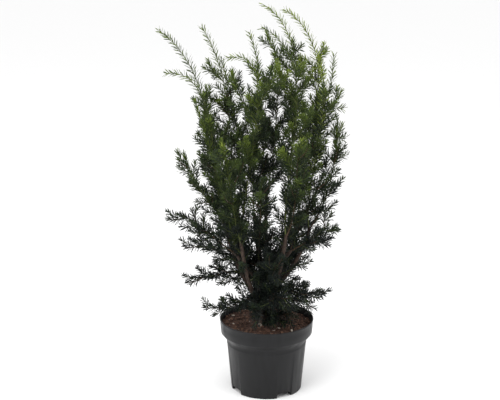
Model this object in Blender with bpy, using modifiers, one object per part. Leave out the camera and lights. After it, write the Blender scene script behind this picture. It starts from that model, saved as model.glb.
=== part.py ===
"""A hillii hybrid yew, an upright evergreen of about 90 cm, growing in a round nursery pot.

Metres, +Z up. The origin is the middle of the pot's underside and -Y is the side seen first.
"""

import math

import bmesh
import bpy
import numpy as np
from mathutils import Matrix, Vector

# Pot
POT_HEIGHT = 0.203
RIM_RADIUS = 0.130
BASE_RADIUS = 0.098
NECK_RADIUS = 0.111
COLLAR_RADIUS = 0.1265
NECK_HEIGHT = 0.1447
COLLAR_HEIGHT = 0.1645
WALL = 0.0020
FLOOR = 0.0030
FOOT_HEIGHT = 0.0145
FLOOR_RADIUS = 0.078
POT_STEPS = 32
NOTCH_ANGLES = (-60.0, 30.0, 120.0, 210.0)
NOTCH_WIDTH = 0.046
NOTCH_HEIGHT = 0.0125

# Growing medium
SOIL_HEIGHT = 0.1870
SOIL_EDGE = 0.1850
SOIL_FLAT = 0.040

# Gap that touching pieces keep
CLEAR = 0.0003

# Trunk
TRUNK_FOOT = (-0.004, 0.0, SOIL_HEIGHT + CLEAR)
TRUNK_TOP = (-0.034, 0.004, 0.500)
TRUNK_RADIUS = 0.0120
TRUNK_TOP_RADIUS = 0.0050
FLARE = 0.0075
FLARE_HEIGHT = 0.014
TRUNK_POINTS = 12

# Boughs: height on the trunk, tip, direction at the tip, radius where it leaves
BOUGH_TIP_RADIUS = 0.0046
BOUGH_POINTS = 7
BOUGHS = {
    "bough_far_left": (0.236, (-0.118, -0.010, 0.490), (-0.22, 0.00, 1.0), 0.0068),
    "bough_left": (0.276, (-0.085, 0.045, 0.530), (-0.12, 0.10, 1.0), 0.0066),
    "bough_back_left": (0.224, (-0.080, 0.110, 0.470), (-0.15, 0.25, 1.0), 0.0064),
    "bough_front_left": (0.206, (-0.070, -0.090, 0.450), (-0.10, -0.15, 1.0), 0.0066),
    "bough_front_right": (0.226, (0.050, -0.095, 0.470), (0.12, -0.12, 1.0), 0.0066),
    "bough_right": (0.298, (0.070, 0.012, 0.540), (0.10, 0.00, 1.0), 0.0070),
    "bough_far_right": (0.256, (0.115, -0.025, 0.470), (0.16, -0.05, 1.0), 0.0066),
    "bough_back_right": (0.212, (0.090, 0.105, 0.480), (0.15, 0.20, 1.0), 0.0064),
    "bough_back": (0.258, (0.000, 0.115, 0.500), (0.05, 0.10, 1.0), 0.0066),
    "bough_low_left": (0.300, (-0.085, -0.060, 0.410), (-0.50, -0.20, 0.9), 0.0058),
    "bough_low_right": (0.325, (0.065, -0.050, 0.415), (0.50, -0.20, 0.9), 0.0058),
}

# Masses of foliage: what carries the stem (a bough, the trunk's tip or a height on the trunk), tip,
# direction at the tip, length of the lowest side shoots, how many, and how far up the last one stands
MASSES = {
    "foliage_top": ("bough_right", (-0.012, 0.020, 1.066), (-0.85, 0.0, 0.50), 0.180, 7, 0.66),
    "foliage_top_right": ("bough_right", (0.046, 0.062, 1.046), (-0.80, 0.0, 0.45), 0.180, 7, 0.66),
    "foliage_top_middle": ("bough_front_right", (-0.013, -0.060, 1.014), (-0.75, 0.0, 0.35), 0.180, 7, 0.66),
    "foliage_centre": ("trunk", (-0.047, -0.015, 0.994), (-0.35, 0.0, 0.90), 0.180, 7, 0.66),
    "foliage_arching": ("bough_front_left", (-0.105, -0.095, 0.942), (-0.90, 0.0, -0.25), 0.180, 7, 0.66),
    "foliage_left": ("bough_left", (-0.172, 0.030, 1.003), (-0.50, 0.0, 0.80), 0.180, 7, 0.66),
    "foliage_far_left": ("bough_far_left", (-0.284, 0.000, 1.000), (-0.85, 0.0, 0.60), 0.130, 6, 0.55),
    "foliage_left_reach": ("bough_far_left", (-0.262, -0.060, 0.897), (-1.00, 0.0, -0.12), 0.110, 5, 0.60),
    "foliage_left_shoulder": ("bough_low_left", (-0.190, -0.070, 0.825), (-0.3, -0.1, 0.9), 0.110, 6, 0.80),
    "foliage_right": ("bough_far_right", (0.130, -0.040, 0.945), (-0.30, 0.0, 0.90), 0.180, 7, 0.66),
    "foliage_right_shoulder": ("bough_far_right", (0.186, -0.010, 0.765), (0.0, 0.0, 1.0), 0.110, 5, 0.80),
    "foliage_far_right": ("bough_back_right", (0.180, 0.080, 0.921), (0.05, 0.0, 1.00), 0.180, 7, 0.66),
    "foliage_front_left": ("bough_front_left", (-0.120, -0.175, 0.745), (-0.2, -0.3, 0.8), 0.110, 6, 0.85),
    "foliage_front_right": ("bough_front_right", (0.080, -0.180, 0.735), (0.1, -0.3, 0.8), 0.110, 6, 0.85),
    "foliage_front_centre": (0.400, (-0.015, -0.165, 0.640), (0.05, -0.30, 0.90), 0.110, 6, 0.85),
    "foliage_left_middle": (0.430, (-0.219, -0.080, 0.688), (-0.25, 0.0, 1.00), 0.090, 5, 0.85),
    "foliage_right_middle": ("bough_low_right", (0.145, -0.060, 0.625), (0.3, 0.0, 0.9), 0.090, 5, 0.85),
    "foliage_back_left": ("bough_back_left", (-0.125, 0.140, 0.900), (-0.3, 0.3, 0.9), 0.180, 7, 0.66),
    "foliage_back": ("bough_back", (0.015, 0.120, 0.960), (-0.20, 0.20, 0.90), 0.180, 7, 0.66),
    "foliage_back_left_shoulder": ("bough_back_left", (-0.175, 0.155, 0.720), (-0.3, 0.3, 0.8), 0.10, 5, 0.85),
    "foliage_back_right_shoulder": ("bough_back_right", (0.135, 0.180, 0.745), (0.3, 0.3, 0.8), 0.10, 6, 0.85),
    "foliage_back_middle": ("bough_back", (-0.015, 0.205, 0.760), (0.0, 0.3, 0.9), 0.110, 6, 0.85),
    "foliage_low_left_upper": ("bough_low_left", (-0.240, -0.045, 0.514), (-0.9, 0.0, 0.35), 0.080, 5, 0.85),
    "foliage_low_left_middle": (0.345, (-0.212, 0.033, 0.421), (-0.80, 0.0, 0.50), 0.085, 5, 0.85),
    "foliage_low_left_lower": (0.330, (-0.203, 0.010, 0.318), (-0.90, -0.2, 0.20), 0.075, 5, 0.85),
    "foliage_low_left_foot": (0.260, (-0.152, -0.100, 0.275), (-0.80, 0.0, 0.50), 0.050, 4, 0.85),
    "foliage_low_right_upper": ("bough_low_right", (0.160, -0.095, 0.500), (0.6, 0.0, 0.8), 0.080, 4, 0.85),
    "foliage_low_right_middle": (0.335, (0.166, 0.065, 0.424), (0.75, -0.20, 0.60), 0.080, 5, 0.85),
    "foliage_low_right_lower": (0.285, (0.140, -0.090, 0.316), (0.80, 0.0, 0.50), 0.070, 5, 0.85),
    "foliage_low_right_foot": (0.240, (0.125, 0.030, 0.236), (0.90, 0.0, -0.20), 0.055, 4, 0.85),
    "foliage_low_front": (0.335, (0.020, -0.150, 0.405), (-0.10, -0.60, 0.70), 0.085, 5, 0.85),
    "foliage_low_front_left": (0.260, (-0.035, -0.115, 0.270), (-0.3, -0.7, 0.5), 0.060, 4, 0.85),
    "foliage_low_front_right": (0.285, (0.040, -0.130, 0.310), (0.3, -0.7, 0.5), 0.060, 4, 0.85),
    "foliage_foot_front": (0.205, (0.018, -0.068, 0.222), (0.00, -0.60, 0.40), 0.045, 3, 0.85),
    "foliage_foot_right": (0.210, (0.062, -0.058, 0.235), (0.50, -0.50, 0.30), 0.045, 3, 0.85),
    "foliage_low_back_left": (0.345, (-0.140, 0.150, 0.470), (-0.50, 0.50, 0.60), 0.090, 5, 0.85),
    "foliage_low_back_right": (0.335, (0.120, 0.170, 0.450), (0.50, 0.50, 0.60), 0.090, 5, 0.85),
    "foliage_low_back": (0.310, (0.050, 0.150, 0.340), (0.00, 0.80, 0.50), 0.080, 5, 0.85),
}
NAMES = list(MASSES)

# How shoots grow
SEED = 11
GOLDEN_ANGLE = math.radians(137.5)
STEM_RISE = 0.55
SPREAD = 0.35
FIRST_SHOOT = 0.14
SHOOT_ANGLE = 44.0
SHOOT_SHRINK = 0.35
SHRINKS = (1.0, 0.8, 0.62, 0.45)
CROWN_CENTRE_X = -0.015
CROWN_HEIGHTS = (0.19, 0.26, 0.40, 0.55, 0.70, 0.85, 1.00)
CROWN_RADII = (0.10, 0.125, 0.150, 0.150, 0.175, 0.185, 0.150)
BEYOND_CROWN = 0.032
SPACE_MARGIN = 0.004
LIMB_MARGIN = 0.0105

# Sprays: slim cores, a needle at every third of a pitch, set round by a third of a turn and a little more
PITCH = 0.0235
STEM_RADIUS = 0.0022
SHOOT_RADIUS = 0.0017
TIP_SHARE = 0.45
CORE_TWIST = math.radians(12.0)
NEEDLE = 0.0225
NEEDLE_ANGLE = math.radians(49.0)
BARE_STEM = 0.025
BARE_SHOOT = 0.010
NEEDLE_MARGIN = 0.0022
WELD = 0.0001
THINNEST = 0.00003


def unit(vectors):
    vectors = np.asarray(vectors, float)
    return vectors / np.linalg.norm(vectors, axis=-1, keepdims=True)


def bend(start, leave, end, arrive, steps, pull=1.0):
    """Points along the smooth bend that leaves start in one direction and arrives at end in another."""
    start = np.asarray(start, float)
    end = np.asarray(end, float)
    t = np.linspace(0.0, 1.0, steps + 1)[:, None]
    reach = np.linalg.norm(end - start) * pull
    line = (2 * t**3 - 3 * t**2 + 1) * start + (-2 * t**3 + 3 * t**2) * end
    return line + (t**3 - 2 * t**2 + t) * reach * unit(leave) + (t**3 - t**2) * reach * unit(arrive)


def finer(line, parts):
    """The same line with each step split into equal parts."""
    steps = [np.linspace(a, b, parts, endpoint=False) for a, b in zip(line[:-1], line[1:])]
    return np.concatenate(steps + [line[-1:]])


def distance(points, cloud):
    """How far each point is from the nearest point of a cloud."""
    return np.linalg.norm(points[:, None] - cloud[None], axis=2).min(axis=1)


def across(direction):
    """Two directions square to this one and to each other."""
    other = (0.0, 1.0, 0.0) if abs(direction[1]) < 0.8 else (1.0, 0.0, 0.0)
    first = unit(np.cross(direction, other))
    return first, np.cross(direction, first)


def along(line, share):
    """The point at this share of the line's steps, and the line's direction there."""
    place = share * (len(line) - 1)
    step = min(int(place), len(line) - 2)
    point = line[step] + (line[step + 1] - line[step]) * (place - step)
    return point, unit(line[step + 1] - line[step])


# Lines that the limbs and stems follow


def trunk_line():
    """The trunk stands upright for its first few millimetres, so that its foot is cut level."""
    above = np.array(TRUNK_FOOT) + (0.0, 0.0, 0.004)
    rest = bend(above, (-0.02, 0.02, 1.0), TRUNK_TOP, (-0.10, -0.02, 1.0), TRUNK_POINTS)
    return np.concatenate([[TRUNK_FOOT], rest])


def trunk_radius(height):
    """The radius at a height: an even taper, and a root flare that dies away above the ground."""
    rise = height - TRUNK_FOOT[2]
    taper = (TRUNK_TOP_RADIUS - TRUNK_RADIUS) * rise / (TRUNK_TOP[2] - TRUNK_FOOT[2])
    return TRUNK_RADIUS + taper + FLARE * math.exp(-rise / FLARE_HEIGHT)


def on_trunk(height):
    line = trunk_line()
    return np.array([np.interp(height, line[:, 2], line[:, axis]) for axis in range(3)])


def bough_line(name):
    """A bough leaves the trunk at 45 degrees and straightens up towards its tip."""
    height, tip, arrive, _ = BOUGHS[name]
    foot = on_trunk(height)
    outward = unit([tip[0] - foot[0], tip[1] - foot[1], 0.0])
    return bend(foot, outward + (0.0, 0.0, 1.0), tip, arrive, BOUGH_POINTS, 0.9)


def bough_radii(name):
    return np.linspace(BOUGHS[name][3], BOUGH_TIP_RADIUS, BOUGH_POINTS + 1)


def stem_line(name):
    """A mass's stem, and the direction that its foot is square to."""
    carrier, tip, arrive, *_ = MASSES[name]
    tip = np.array(tip)
    if isinstance(carrier, float):
        foot = on_trunk(carrier)
        leave = unit([tip[0] - foot[0], tip[1] - foot[1], 0.0]) + (0.0, 0.0, STEM_RISE)
        square = unit(leave)
    else:
        limb = trunk_line() if carrier == "trunk" else bough_line(carrier)
        square = unit(limb[-1] - limb[-2])
        foot = limb[-1] + CLEAR * square
        leave = square
        sharing = [MASSES[other][1] for other in NAMES if MASSES[other][0] == carrier]
        if len(sharing) > 1:
            away = tip - np.mean(sharing, axis=0)
            away = unit(away - square * (away @ square))
            foot = foot + away * BOUGH_TIP_RADIUS * 0.55
            leave = square + SPREAD * away
    steps = 3 * max(4, round(np.linalg.norm(tip - foot) * 1.05 / PITCH))
    return bend(foot, leave, tip, arrive, steps), square


STEMS = {name: stem_line(name) for name in NAMES}
STEM_CLOUDS = {name: finer(line, 2) for name, (line, _) in STEMS.items()}
LIMB_CLOUD = np.concatenate([finer(trunk_line(), 6)] + [finer(bough_line(name), 6) for name in BOUGHS])


def in_space(points, name, margin):
    """A mass's space is what lies nearer to its own stem than to any other, less a margin."""
    others = np.concatenate([STEM_CLOUDS[other] for other in NAMES if other != name])
    return distance(points, STEM_CLOUDS[name]) + margin <= distance(points, others)


def strays(points, name):
    """Points outside the crown's round outline that are also far from the mass's own stem."""
    radius = np.interp(points[:, 2], CROWN_HEIGHTS, CROWN_RADII)
    outside = np.hypot(points[:, 0] - CROWN_CENTRE_X, points[:, 1]) > radius
    return outside & (distance(points, STEM_CLOUDS[name]) > BEYOND_CROWN)


def side_shoots(name):
    """Shoots that leave the stem by the golden angle and bend up beside it, shorter where crowded."""
    *_, length, count, last = MASSES[name]
    number = NAMES.index(name)
    stem = STEMS[name][0]
    shoots = []
    for shoot in range(count):
        rng = np.random.default_rng((SEED, number, shoot))
        share = FIRST_SHOOT + (last - FIRST_SHOOT) * (shoot + rng.uniform(-0.2, 0.2)) / (count - 1)
        foot, onward = along(stem, share)
        first, second = across(onward)
        turn = number * 0.7 + shoot * GOLDEN_ANGLE + rng.uniform(-0.3, 0.3)
        outward = math.cos(turn) * first + math.sin(turn) * second
        angle = math.radians(SHOOT_ANGLE + rng.uniform(-6.0, 6.0))
        leave = math.cos(angle) * onward + math.sin(angle) * outward
        arrive = unit(0.5 * leave + (0.0, 0.0, 0.5) + 0.8 * onward)
        climb = (share - FIRST_SHOOT) / (last - FIRST_SHOOT)
        full = length * (1.0 - SHOOT_SHRINK * climb) * rng.uniform(0.9, 1.1)
        for shrink in SHRINKS:
            reach = full * shrink
            tip = foot + reach * unit(leave + 0.6 * arrive)
            line = bend(foot, leave, tip, arrive, 3 * max(2, round(reach / PITCH)))
            outer = line[len(line) // 4 :]
            free = in_space(outer, name, SPACE_MARGIN) & (distance(outer, LIMB_CLOUD) > LIMB_MARGIN)
            if (free & ~strays(outer, name)).all():
                shoots.append((line, share))
                break
    return shoots


# Blender objects

part = bpy.data.collections.new("hillii_yew_in_pot")
cutters = bpy.data.collections.new("cutters")


def material(name, colour, roughness):
    made = bpy.data.materials.new(name)
    made.use_nodes = True
    shader = made.node_tree.nodes["Principled BSDF"]
    shader.inputs["Base Color"].default_value = (*colour, 1.0)
    shader.inputs["Roughness"].default_value = roughness
    shader.inputs["Metallic"].default_value = 0.0
    return made


def place(name, mesh, surface, smooth=True):
    mesh.name = name
    mesh.materials.clear()
    mesh.materials.append(surface)
    if smooth:
        mesh.shade_smooth()
        mesh.set_sharp_from_angle(angle=math.radians(40.0))
    made = bpy.data.objects.new(name, mesh)
    part.objects.link(made)
    return made


def evaluated_mesh(made):
    bpy.context.view_layer.update()
    graph = bpy.context.evaluated_depsgraph_get()
    return bpy.data.meshes.new_from_object(made.evaluated_get(graph))


def settle(made):
    """Applies an object's modifiers."""
    mesh = evaluated_mesh(made)
    made.modifiers.clear()
    made.data = mesh


def helper(name, mesh):
    made = bpy.data.objects.new(name, mesh)
    made.hide_render = True
    made.display_type = "WIRE"
    cutters.objects.link(made)
    return made


def boolean(made, operation, solver, other):
    """Joins or cuts an object by another object or by all the objects of a collection."""
    modifier = made.modifiers.new(operation.lower(), "BOOLEAN")
    modifier.operation = operation
    modifier.solver = solver
    if isinstance(other, bpy.types.Collection):
        modifier.operand_type = "COLLECTION"
        modifier.collection = other
    else:
        modifier.object = other
    settle(made)


# Pot and growing medium


def turned(name, profile, steps, surface):
    """A solid of revolution. The profile runs down the outer side and ends back on the axis."""
    mesh = bpy.data.meshes.new(name)
    edges = [(i, i + 1) for i in range(len(profile) - 1)]
    mesh.from_pydata([(r, 0.0, z) for r, z in profile], edges, [])
    made = place(name, mesh, surface, smooth=False)
    screw = made.modifiers.new("turn", "SCREW")
    screw.steps = steps
    screw.render_steps = steps
    screw.use_merge_vertices = True
    screw.merge_threshold = 0.00005
    settle(made)
    made.data.shade_smooth()
    made.data.set_sharp_from_angle(angle=math.radians(35.0))
    return made


def wall_inside(height):
    """The pot's inner radius at a height."""
    heights = (FLOOR, NECK_HEIGHT + WALL, COLLAR_HEIGHT + WALL, POT_HEIGHT)
    radii = (BASE_RADIUS, NECK_RADIUS, COLLAR_RADIUS, RIM_RADIUS)
    return float(np.interp(height, heights, radii)) - WALL


def pot():
    surface = material("black_plastic", (0.018, 0.019, 0.022), 0.45)
    gallery = FOOT_HEIGHT + FLOOR
    profile = [
        (0.0, FLOOR),
        (FLOOR_RADIUS - FLOOR, FLOOR),
        (FLOOR_RADIUS + 0.001, gallery),
        (wall_inside(gallery), gallery),
        (wall_inside(NECK_HEIGHT + WALL), NECK_HEIGHT + WALL),
        (wall_inside(COLLAR_HEIGHT + WALL), COLLAR_HEIGHT + WALL),
        (RIM_RADIUS - WALL, POT_HEIGHT - 0.0005),
        (RIM_RADIUS - 0.7 * WALL, POT_HEIGHT),
        (RIM_RADIUS - 0.3 * WALL, POT_HEIGHT),
        (RIM_RADIUS, POT_HEIGHT - 0.001),
        (COLLAR_RADIUS, COLLAR_HEIGHT),
        (NECK_RADIUS, NECK_HEIGHT),
        (BASE_RADIUS + 0.0006, 0.004),
        (BASE_RADIUS - 0.0012, 0.0),
        (BASE_RADIUS - WALL - 0.0012, 0.0),
        (BASE_RADIUS - WALL, FOOT_HEIGHT),
        (FLOOR_RADIUS + 0.004, FOOT_HEIGHT),
        (FLOOR_RADIUS, 0.0),
        (0.0, 0.0),
    ]
    made = turned("pot", profile, POT_STEPS, surface)
    notches = bpy.data.collections.new("notches")
    cutters.children.link(notches)
    for angle in NOTCH_ANGLES:
        bpy.ops.mesh.primitive_cube_add(size=1.0)
        notch = bpy.context.object
        notch.name = "notch_cutter"
        turn = Matrix.Rotation(math.radians(angle), 4, "Z")
        reach = 0.5 * (BASE_RADIUS + FLOOR_RADIUS) + 0.012
        size = Matrix.Diagonal((NOTCH_WIDTH, 0.030, 2 * NOTCH_HEIGHT, 1.0))
        notch.data.transform(turn @ Matrix.Translation((0.0, -reach, 0.0)) @ size)
        for collection in list(notch.users_collection):
            collection.objects.unlink(notch)
        notches.objects.link(notch)
        notch.hide_render = True
        notch.display_type = "WIRE"
    boolean(made, "DIFFERENCE", "EXACT", notches)


def growing_medium():
    surface = material("potting_mix", (0.060, 0.030, 0.020), 0.95)
    gallery = FOOT_HEIGHT + FLOOR + CLEAR
    profile = [
        (0.0, SOIL_HEIGHT),
        (SOIL_FLAT, SOIL_HEIGHT),
        (wall_inside(SOIL_EDGE) - CLEAR, SOIL_EDGE),
        (wall_inside(COLLAR_HEIGHT + WALL) - CLEAR, COLLAR_HEIGHT + WALL),
        (wall_inside(NECK_HEIGHT + WALL) - 2 * CLEAR, NECK_HEIGHT + WALL),
        (wall_inside(gallery) - CLEAR, gallery),
        (FLOOR_RADIUS + 0.001 - CLEAR, gallery),
        (FLOOR_RADIUS - FLOOR - CLEAR, FLOOR + CLEAR),
        (0.0, FLOOR + CLEAR),
    ]
    turned("growing_medium", profile, POT_STEPS, surface)


# Limbs


def limb_mesh(line, radii, sides_resolution):
    """A tapering limb: a round curve with filled caps, made a closed mesh."""
    curve = bpy.data.curves.new("limb", "CURVE")
    curve.dimensions = "3D"
    curve.bevel_depth = 1.0
    curve.bevel_resolution = sides_resolution
    curve.use_fill_caps = True
    spline = curve.splines.new("POLY")
    spline.points.add(len(line) - 1)
    for point, place_, radius in zip(spline.points, line, radii):
        point.co = (*place_, 1.0)
        point.radius = radius
    made = bpy.data.objects.new("limb", curve)
    bpy.context.scene.collection.objects.link(made)
    mesh = evaluated_mesh(made)
    bpy.data.objects.remove(made)
    bpy.data.curves.remove(curve)
    shape = bmesh.new()
    shape.from_mesh(mesh)
    bmesh.ops.remove_doubles(shape, verts=shape.verts, dist=0.00001)
    bmesh.ops.recalc_face_normals(shape, faces=shape.faces)
    shape.to_mesh(mesh)
    shape.free()
    return mesh


def trunk_mesh(grown):
    line = trunk_line()
    radii = [trunk_radius(height) + grown for height in line[:, 2]]
    if grown:
        line = np.concatenate([line[:1] - (0.0, 0.0, 0.01), line[1:]])
    return limb_mesh(line, radii, 2)


# Sprays


def core_corners(line, square, radius):
    """Corners of a slim core, one at each step of the line and three at its foot, and where they face.

    Each corner is turned a third of a circle from the last one, so that three corner lines run up it.
    """
    steps = len(line) - 1
    at = np.concatenate([[0, 0], np.arange(steps)])
    onward = np.concatenate([[square], unit(line[2:] - line[:-2])])
    first, _ = across(onward[0])
    facing = []
    for number, step in enumerate(at):
        first = unit(first - onward[step] * (first @ onward[step]))
        second = np.cross(onward[step], first)
        turn = number * 2 * math.pi / 3 + step * CORE_TWIST
        facing.append(math.cos(turn) * first + math.sin(turn) * second)
    facing = np.array(facing)
    radii = radius * (1.0 + (TIP_SHARE - 1.0) * at / steps)
    return line[at] + radii[:, None] * facing, facing, onward[at], at


def spray_mesh(line, square, radius, bare, name):
    """A slim core that runs to a point, with a needle raised from every second face round it."""
    corners, facing, onward, at = core_corners(line, square, radius)
    shape = bmesh.new()
    knots = [shape.verts.new(corner) for corner in corners] + [shape.verts.new(line[-1])]
    shape.faces.new(knots[2::-1])
    shape.faces.new(knots[-3:])
    lower = []
    for number in range(len(knots) - 3):
        lower.append(shape.faces.new((knots[number], knots[number + 1], knots[number + 3])))
        shape.faces.new((knots[number], knots[number + 3], knots[number + 2]))
    travelled = np.concatenate([[0.0], np.cumsum(np.linalg.norm(np.diff(line, axis=0), axis=1))])
    gone = travelled[at[: len(lower)]]
    tall = NEEDLE * (1.0 - 0.3 * (gone / travelled[-1]) ** 3)
    middles = np.array([face.calc_center_median() for face in lower])
    outward = unit(facing[: len(lower)] * 1.4 + facing[1 : len(lower) + 1])
    lean = math.cos(NEEDLE_ANGLE) * onward[: len(lower)] + math.sin(NEEDLE_ANGLE) * outward
    ends = middles + tall[:, None] * lean
    halves = 0.5 * (middles + ends)
    free = (gone >= bare) & (ends[:, 2] > SOIL_HEIGHT + 0.002)
    for points in (ends, halves):
        free &= in_space(points, name, NEEDLE_MARGIN) & (distance(points, LIMB_CLOUD) > LIMB_MARGIN)
    for face, end, keep in zip(lower, ends, free):
        if keep:
            poked = bmesh.ops.poke(shape, faces=[face])
            poked["verts"][0].co = end
    mesh = bpy.data.meshes.new(name)
    shape.to_mesh(mesh)
    shape.free()
    return mesh


def islands(shape):
    """The vertices of a mesh, grouped by the surface that they belong to."""
    waiting = set(shape.verts)
    found = []
    while waiting:
        group = {waiting.pop()}
        edge_of_group = list(group)
        while edge_of_group:
            vertex = edge_of_group.pop()
            near = {edge.other_vert(vertex) for edge in vertex.link_edges} & waiting
            waiting -= near
            group |= near
            edge_of_group += near
        found.append(group)
    return found


def weld(shape):
    """Draws together the points that joining left closer than WELD, and takes out faces that fold onto each other."""
    bmesh.ops.triangulate(shape, faces=shape.faces)
    while True:
        short = {edge for edge in shape.edges if edge.calc_length() < WELD or len(edge.link_faces) > 2}
        for face in shape.faces:
            lengths = [edge.calc_length() for edge in face.edges]
            if 2.0 * face.calc_area() < THINNEST * max(lengths):
                short.add(face.edges[lengths.index(min(lengths))])
        if short:
            bmesh.ops.collapse(shape, edges=list(short))
        seen = {}
        for face in shape.faces:
            seen.setdefault(frozenset(face.verts), []).append(face)
        folded = [face for faces in seen.values() if len(faces) > 1 for face in faces]
        if folded:
            bmesh.ops.delete(shape, geom=folded, context="FACES")
            loose = [point for point in shape.verts if not point.link_faces]
            bmesh.ops.delete(shape, geom=loose, context="VERTS")
        if not short and not folded:
            return


def fill_hollows(made):
    """Keeps the mass's outer surface and drops the sealed hollows and loose scraps left by joining."""
    shape = bmesh.new()
    shape.from_mesh(made.data)
    groups = sorted(islands(shape), key=len)
    for group in groups[:-1]:
        bmesh.ops.delete(shape, geom=list(group), context="VERTS")
    weld(shape)
    shape.to_mesh(made.data)
    shape.free()


def foliage(name, surface, trunk_cutter):
    """One mass: the stem's spray with its side shoots' sprays joined on."""
    stem, square = STEMS[name]
    made = place(name, spray_mesh(stem, square, STEM_RADIUS, BARE_STEM, name), surface, smooth=False)
    shoots = bpy.data.collections.new(name + "_shoots")
    cutters.children.link(shoots)
    for line, share in side_shoots(name):
        stem_radius = STEM_RADIUS * (1.0 + (TIP_SHARE - 1.0) * share)
        radius = min(SHOOT_RADIUS, 0.85 * stem_radius)
        mesh = spray_mesh(line, unit(line[1] - line[0]), radius, BARE_SHOOT, name)
        shoot = bpy.data.objects.new("shoot", mesh)
        shoots.objects.link(shoot)
    boolean(made, "UNION", "MANIFOLD", shoots)
    for shoot in list(shoots.objects):
        bpy.data.objects.remove(shoot)
    bpy.data.collections.remove(shoots)
    if isinstance(MASSES[name][0], float):
        boolean(made, "DIFFERENCE", "MANIFOLD", trunk_cutter)
    fill_hollows(made)


def build():
    for old in list(bpy.data.objects):
        bpy.data.objects.remove(old)
    bpy.context.scene.collection.children.link(part)
    bpy.context.scene.collection.children.link(cutters)
    pot()
    growing_medium()
    bark = material("bark", (0.075, 0.040, 0.026), 0.85)
    place("trunk", trunk_mesh(0.0), bark)
    trunk_cutter = helper("trunk_cutter", trunk_mesh(CLEAR))
    for name in BOUGHS:
        made = place(name, limb_mesh(bough_line(name), bough_radii(name), 1), bark)
        boolean(made, "DIFFERENCE", "MANIFOLD", trunk_cutter)
    fresh = material("fresh_needles", (0.120, 0.190, 0.035), 0.6)
    green = material("green_needles", (0.035, 0.070, 0.022), 0.6)
    dark = material("dark_needles", (0.012, 0.025, 0.016), 0.6)
    for name in NAMES:
        top = MASSES[name][1][2]
        surface = fresh if top > 0.9 else green if top > 0.6 else dark
        foliage(name, surface, trunk_cutter)
    bpy.data.objects.remove(trunk_cutter)
    holder = bpy.data.objects.new("yew_in_pot", None)
    part.objects.link(holder)
    for made in part.objects:
        if made is not holder:
            made.parent = holder
    holder.location = Vector((0.0, 0.0, 0.0))


build()
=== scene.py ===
"""A bushy hybrid yew growing in a round black nursery pot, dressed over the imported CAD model."""

import itertools
import math

import bpy
import numpy as np
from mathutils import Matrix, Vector


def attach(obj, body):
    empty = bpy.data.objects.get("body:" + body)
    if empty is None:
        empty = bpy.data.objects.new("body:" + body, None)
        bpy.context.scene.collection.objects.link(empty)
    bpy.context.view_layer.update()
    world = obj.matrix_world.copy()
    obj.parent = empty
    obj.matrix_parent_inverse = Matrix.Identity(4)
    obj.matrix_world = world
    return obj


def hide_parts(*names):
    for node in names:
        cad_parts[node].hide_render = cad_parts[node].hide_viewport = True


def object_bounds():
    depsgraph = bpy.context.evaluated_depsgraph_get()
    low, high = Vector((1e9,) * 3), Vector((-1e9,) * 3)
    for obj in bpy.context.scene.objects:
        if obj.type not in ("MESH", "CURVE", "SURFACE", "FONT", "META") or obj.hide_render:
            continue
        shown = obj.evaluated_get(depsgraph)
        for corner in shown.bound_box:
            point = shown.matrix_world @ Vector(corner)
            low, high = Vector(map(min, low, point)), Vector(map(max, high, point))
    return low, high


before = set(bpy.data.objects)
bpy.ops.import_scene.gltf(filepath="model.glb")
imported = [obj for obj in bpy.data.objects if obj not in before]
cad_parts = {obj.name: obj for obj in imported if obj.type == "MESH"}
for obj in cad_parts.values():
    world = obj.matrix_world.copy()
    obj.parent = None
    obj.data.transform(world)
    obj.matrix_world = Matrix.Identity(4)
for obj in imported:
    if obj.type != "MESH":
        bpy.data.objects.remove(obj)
CAD_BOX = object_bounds()


# The stage: a pale floor that runs out into a white background, a large soft light above and in
# front, a weaker one from the right, and a camera a little above the plant and looking down on it.

CAMERA_PLACE = (-0.046, -3.30, 1.45)
CAMERA_PITCH = math.radians(15.4)
CAMERA_LENS = 91.0
SENSOR_WIDTH = 36.0
FLOOR_REACH = 14.0
FLOOR_COLOUR = (0.86, 0.86, 0.86)
BACKGROUND = (1.0, 1.0, 1.0)
BACKGROUND_STRENGTH = 1.12
# name: (place, what it is aimed at, size, power)
LIGHTS = {
    "overhead": ((-0.5, -0.7, 2.9), (0.0, 0.0, 0.6), 1.8, 42.0),
    "front_left": ((-1.9, -2.6, 1.9), (0.0, 0.0, 0.6), 1.6, 38.0),
    "right": ((2.2, -1.0, 1.5), (0.0, 0.0, 0.5), 1.4, 16.0),
}


def principled(name, colour, roughness, specular):
    """A new material whose Principled shader has this colour, roughness and gloss."""
    made = bpy.data.materials.new(name)
    made.use_nodes = True
    shader = made.node_tree.nodes["Principled BSDF"]
    shader.inputs["Base Color"].default_value = (*colour, 1.0)
    shader.inputs["Roughness"].default_value = roughness
    shader.inputs["Specular IOR Level"].default_value = specular
    return made


camera_data = bpy.data.cameras.new("camera")
camera_data.lens = CAMERA_LENS
camera_data.sensor_width = SENSOR_WIDTH
camera = bpy.data.objects.new("camera", camera_data)
camera.location = CAMERA_PLACE
camera.rotation_euler = (math.pi / 2 - CAMERA_PITCH, 0.0, 0.0)
bpy.context.scene.collection.objects.link(camera)
bpy.context.scene.camera = camera

for light_name, (place, target, size, power) in LIGHTS.items():
    light_data = bpy.data.lights.new(light_name, "AREA")
    light_data.size = size
    light_data.energy = power
    light = bpy.data.objects.new(light_name, light_data)
    light.location = place
    light.rotation_euler = (Vector(target) - Vector(place)).to_track_quat("-Z", "Y").to_euler()
    bpy.context.scene.collection.objects.link(light)

world = bpy.data.worlds.new("studio")
world.use_nodes = True
world.node_tree.nodes["Background"].inputs["Color"].default_value = (*BACKGROUND, 1.0)
world.node_tree.nodes["Background"].inputs["Strength"].default_value = BACKGROUND_STRENGTH
bpy.context.scene.world = world
bpy.context.scene.view_settings.view_transform = "Standard"

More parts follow.
